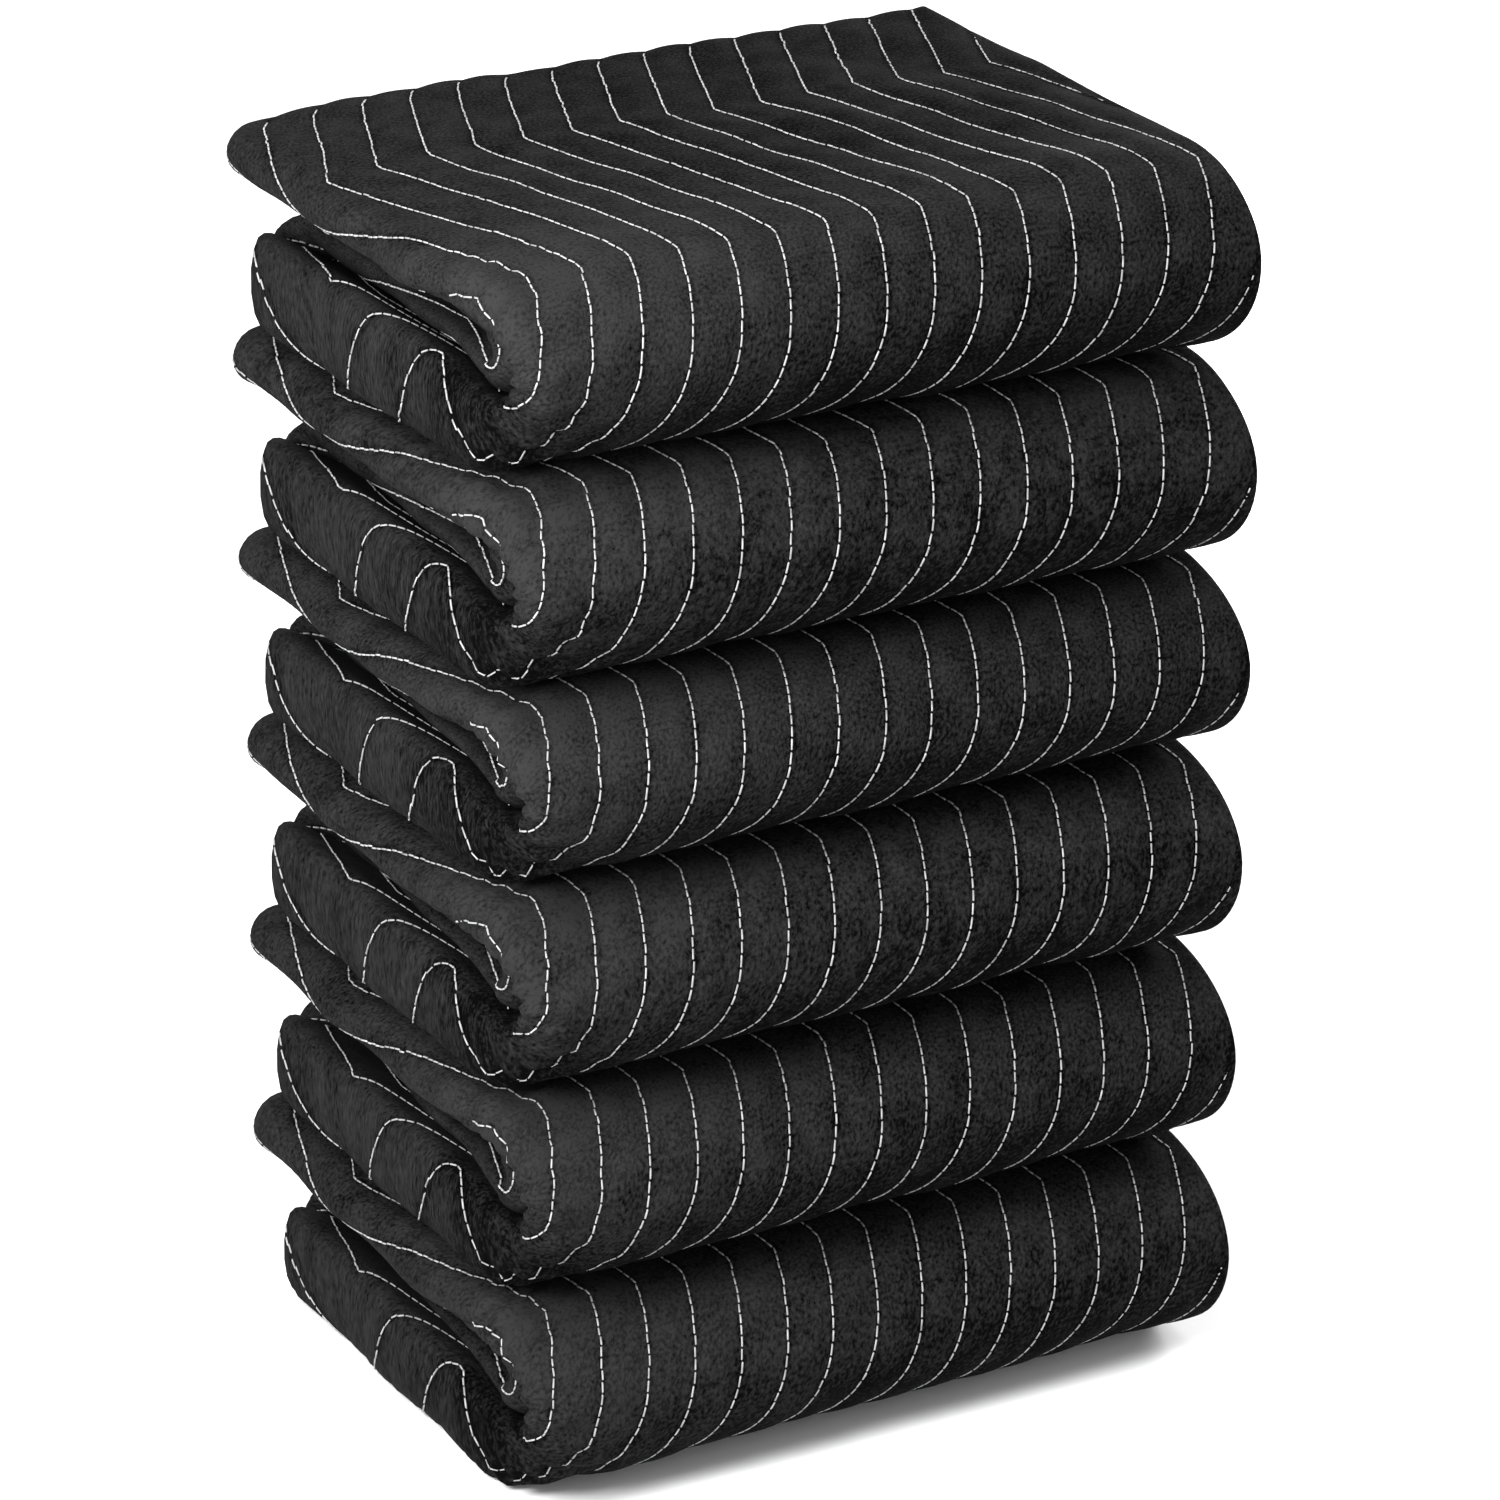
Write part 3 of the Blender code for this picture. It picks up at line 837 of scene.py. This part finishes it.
def cloth_finish():
    material, shader, wires = blank_finish("brushed_black_cloth")
    place = wires.node("ShaderNodeAttribute", {"attribute_name": "flat_place"}, output="Vector")
    split = place.node("ShaderNodeSeparateXYZ", values={"Vector": place})
    s = Wire(split.tree, split.socket.node.outputs["Y"])
    across = (split - FIRST_ROW) / ROW_SPACING
    to_row = abs(across - across.maths("ROUND")) * ROW_SPACING
    crease = (to_row / CREASE_WIDTH).maths("POWER", 2.0) * -1.0
    crease = crease.maths("EXPONENT")
    flecks = noise(place, 1 / FLECK_SIZE, 3.0, 0.65)
    patches = noise(place, 1 / PATCH_SIZE, 2.0)
    # Painted light, strongest at the left edge and gone at the width above
    painted_left_light = ((PAINTED_LEFT_LIGHT_WIDTH - split) / PAINTED_LEFT_LIGHT_WIDTH).maths("MAXIMUM", 0.0).maths("MINIMUM", 1.0)
    # Plain tone with painted light at the left, a painted highlight on the shoulder and painted shade
    # on the heel
    tone_with_painted_light = PLAIN_TONE + painted_left_light * PAINTED_LEFT_LIGHT_TONE
    tone_with_painted_light = tone_with_painted_light + bump_of(s, PAINTED_SHOULDER_HIGHLIGHT) * PAINTED_HIGHLIGHT_TONE - bump_of(s, PAINTED_HEEL_SHADE) * PAINTED_SHADE_TONE
    # The crease at each row of stitches is darkened in colour as painted shade
    tone = (flecks - 0.5) * FLECK_TONE + (patches - 0.5) * PATCH_TONE + tone_with_painted_light - crease * PAINTED_CREASE_SHADE
    tone = tone.maths("MAXIMUM", 0.0).maths("MINIMUM", 1.0)
    colour = blend(tone, DARKEST_CLOTH, LIGHTEST_CLOTH)
    pucker = (s * (2 * math.pi / PUCKER_PITCH)).maths("SINE")
    height = flecks * FLECK_RELIEF - crease * CREASE_RELIEF
    height = height + pucker * crease * PUCKER_RELIEF + patches * PATCH_RELIEF
    bump = relief(height, 0.55, 0.0012)
    shader.inputs["Roughness"].default_value = 0.92
    shader.inputs["Specular IOR Level"].default_value = 0.02
    shader.inputs["Sheen Weight"].default_value = 0.004
    shader.inputs["Sheen Roughness"].default_value = 0.45
    shader.inputs["Sheen Tint"].default_value = (0.75, 0.75, 0.78, 1.0)
    wire_up(shader, "Base Color", colour)
    wire_up(shader, "Normal", bump)
    return material


cloth = cloth_finish()
print("cloth finish has", len(cloth.node_tree.nodes), "nodes")

# %% [markdown]
# ## The thread's finish
# The thread is pale grey and a little shiny, and no two stitches catch the light alike. A noise in
# space gives each stitch its own tone, and a fine wave along it stands for the twist of its plies.

# %% Pale grey thread
THREAD_PATCHES = 140.0
THREAD_TWIST = 1500.0
DARKEST_THREAD = (0.05, 0.05, 0.05, 1.0)
LIGHTEST_THREAD = (0.50, 0.50, 0.50, 1.0)


def thread_finish():
    material, shader, wires = blank_finish("pale_grey_thread")
    place = wires.node("ShaderNodeTexCoord", output="Object")
    colour = blend(noise(place, THREAD_PATCHES, 1.0), DARKEST_THREAD, LIGHTEST_THREAD)
    bump = relief(noise(place, THREAD_TWIST, 1.0), 0.4, 0.0003)
    shader.inputs["Roughness"].default_value = 0.6
    shader.inputs["Specular IOR Level"].default_value = 0.4
    wire_up(shader, "Base Color", colour)
    wire_up(shader, "Normal", bump)
    return material


thread = thread_finish()
print("thread finish has", len(thread.node_tree.nodes), "nodes")

# %% [markdown]
# ## Put the stack down
# Each blanket is built, laid on the one below with its own small shift and turn, and its solid is
# hidden. One small shift of them all centres the footprint where the imported model's is.

# %% Build and place every blanket
CLOTH_SLOT = "black_quilted_cloth"
THREAD_SLOT = "grey_thread"
STACK_SHIFT = -0.0041
CLOTH_SEED = 11
STITCH_SEED = 40


def put_down(name, mesh, finish, shift, turn):
    """A piece at its place on the stack, which rides on the one body and takes the given finish."""
    mesh.materials.append(finish)
    piece = bpy.data.objects.new(name, mesh)
    piece.location = shift
    piece.rotation_euler = (0.0, 0.0, math.radians(turn))
    bpy.context.scene.collection.objects.link(piece)
    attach(piece, "root")
    return piece


def triangle_count(mesh):
    return sum(len(polygon.vertices) - 2 for polygon in mesh.polygons)


def build_stack():
    floor = 0.0
    to_origin = Matrix.Translation((-WIDTH / 2, -DEPTH / 2, 0.0))
    total = 0
    for index, (name, thickness, shift_x, shift_y, turn) in enumerate(STACK):
        blanket = Blanket(thickness, UNDER_SAG if index else 0.0, seed=CLOTH_SEED + index)
        folded = blanket_mesh("folded_" + name, blanket, index)
        sewn = stitch_mesh("stitches_of_" + name, blanket, index == 0, seed=STITCH_SEED + index)
        shift = (shift_x + STACK_SHIFT, shift_y, floor)
        for mesh, finish, slot in ((folded, cloth, CLOTH_SLOT), (sewn, thread, THREAD_SLOT)):
            mesh.transform(to_origin)
            piece = put_down(mesh.name, mesh, finish, shift, turn)
            if mesh is folded:
                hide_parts(name)
            total += triangle_count(mesh)
            print(piece.name, triangle_count(mesh), "triangles")
        floor += thickness + BLANKET_GAP
    print("in all", total, "triangles")


build_stack()

# %% [markdown]
# ## The floor and the light
# The stack stands on a plain pale floor. A soft light high at the front left and a lower one from
# the left stand close to it, so that the round folds are bright at the left and fall off to the
# right. A wider light behind the right opens up the back, and the white surroundings do the rest.

# %% Floor
FLOOR_SIZE = 14.0
FLOOR_DROP = 0.0006
FLOOR_PATCHES = 3.0
DARKEST_FLOOR = (0.94, 0.94, 0.94, 1.0)
LIGHTEST_FLOOR = (0.97, 0.97, 0.97, 1.0)


def floor_finish():
    material, shader, wires = blank_finish("pale_floor")
    place = wires.node("ShaderNodeTexCoord", output="Object")
    colour = blend(noise(place, FLOOR_PATCHES, 2.0), DARKEST_FLOOR, LIGHTEST_FLOOR)
    shader.inputs["Roughness"].default_value = 0.9
    wire_up(shader, "Base Color", colour)
    return material


def lay_floor():
    half = FLOOR_SIZE / 2
    corners = [(-half, -half, 0.0), (half, -half, 0.0), (half, half, 0.0), (-half, half, 0.0)]
    mesh = bpy.data.meshes.new("floor")
    mesh.from_pydata(corners, [], [(0, 1, 2, 3)])
    mesh.materials.append(floor_finish())
    floor = bpy.data.objects.new("floor", mesh)
    floor.location = (0.0, 0.0, -FLOOR_DROP)
    bpy.context.scene.collection.objects.link(floor)
    floor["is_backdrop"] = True


lay_floor()

# %% Lights
LIGHTS = (
    # name, degrees to the right of the front, degrees up, distance, size, watts
    ("high_light", -42.0, 52.0, 1.7, 0.8, 22.0),
    ("left_light", -60.0, 28.0, 1.6, 0.6, 39.0),
    ("back_light", 120.0, 12.0, 3.0, 1.2, 100.0),
)
LIGHTS_AIM = (0.0, 0.0, 0.4)
WHITE = (1.0, 1.0, 1.0, 1.0)
SURROUNDINGS = 1.0


def hang_light(name, azimuth, height, distance, size, watts):
    data = bpy.data.lights.new(name, "AREA")
    data.shape = "DISK"
    data.size = size
    data.energy = watts
    light = bpy.data.objects.new(name, data)
    middle = Vector(LIGHTS_AIM)
    light.location = middle + distance * direction(math.radians(azimuth), math.radians(height))
    aim_at(light, middle)
    bpy.context.scene.collection.objects.link(light)


for row in LIGHTS:
    hang_light(*row)
world = bpy.data.worlds.new("surroundings")
world.use_nodes = True
world.node_tree.nodes["Background"].inputs["Color"].default_value = WHITE
world.node_tree.nodes["Background"].inputs["Strength"].default_value = SURROUNDINGS
bpy.context.scene.world = world
bpy.context.scene.view_settings.view_transform = "Standard"
print("lights:", ", ".join(row[0] for row in LIGHTS))

# %% [markdown]
# ## The size
# The dressed stack stands for the solids, so it has to be as large as they are. Both sizes are
# written down side by side.

# %% Compare the size with the solids
bpy.context.view_layer.update()
visual_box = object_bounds()
for axis, label in enumerate("xyz"):
    grown = [round(MILLIMETRES * (visual_box[side][axis] - cad_box[side][axis]), 1) for side in (0, 1)]
    print(label, "lies", grown, "mm past the solids")
